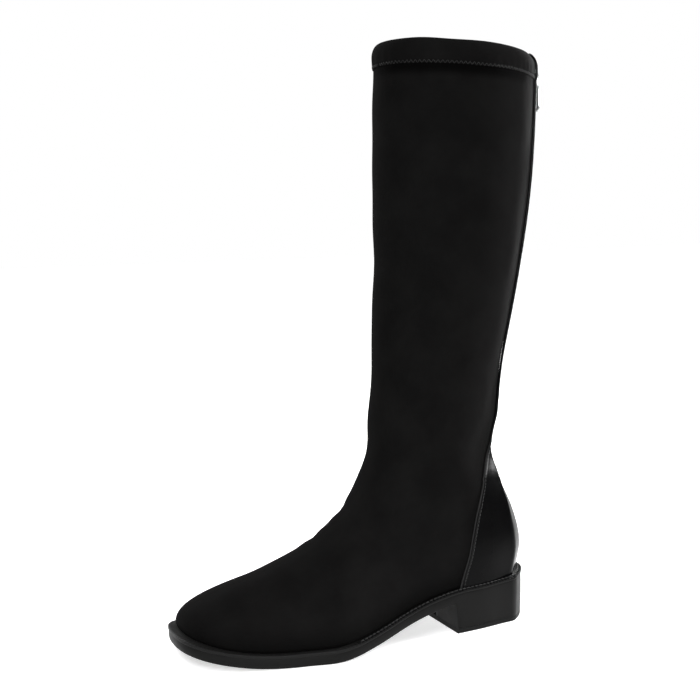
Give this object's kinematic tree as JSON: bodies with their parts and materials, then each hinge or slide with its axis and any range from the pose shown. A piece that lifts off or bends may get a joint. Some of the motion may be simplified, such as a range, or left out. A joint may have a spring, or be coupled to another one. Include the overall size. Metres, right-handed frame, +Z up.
{
  "type": "knee-high boot",
  "caption": "Left knee-high boot: stretch suede upper, leather counter and back strip, full-length back zip with a pull tab, stitched welt, moulded sole and low block heel.",
  "frame": {"origin": "on the floor, in the middle of the heel's resting face", "axes": "+Z up, the toe points to -X, the outer side of the foot to -Y and its inner side to +Y"},
  "size_m": [0.2833, 0.0987, 0.4108],
  "materials": {
    "suede": "black stretch suede with a short nap",
    "counter_leather": "smooth black leather with a soft gloss",
    "welt": "satin, stitched and notched along its top",
    "sole": "semi-gloss moulded rubber",
    "top_lift": "semi-gloss, finely ribbed underneath",
    "insole": "matt lining leather",
    "zip_tape": "woven polyester tape",
    "zip_teeth": "black coil",
    "zip_metal": "polished nickel"
  },
  "bodies": {
    "boot": {"upper": "suede", "back_panel": "counter_leather", "welt": "welt", "outsole": "sole", "heel_top_lift": "top_lift", "insole": "insole", "zip_tape": "zip_tape", "zip_chain": "zip_teeth", "zip_bottom_stop": "zip_metal", "zip_slider": "zip_metal"},
    "pull": {"zip_pull": "zip_metal"}
  },
  "joints": [
    {"name": "pull_swing", "type": "hinge", "parent": "boot", "child": "pull", "pos_m": [0.05365, 0, 0.38996], "axis": [0, -1, 0], "range_deg": [0, 150]}
  ]
}
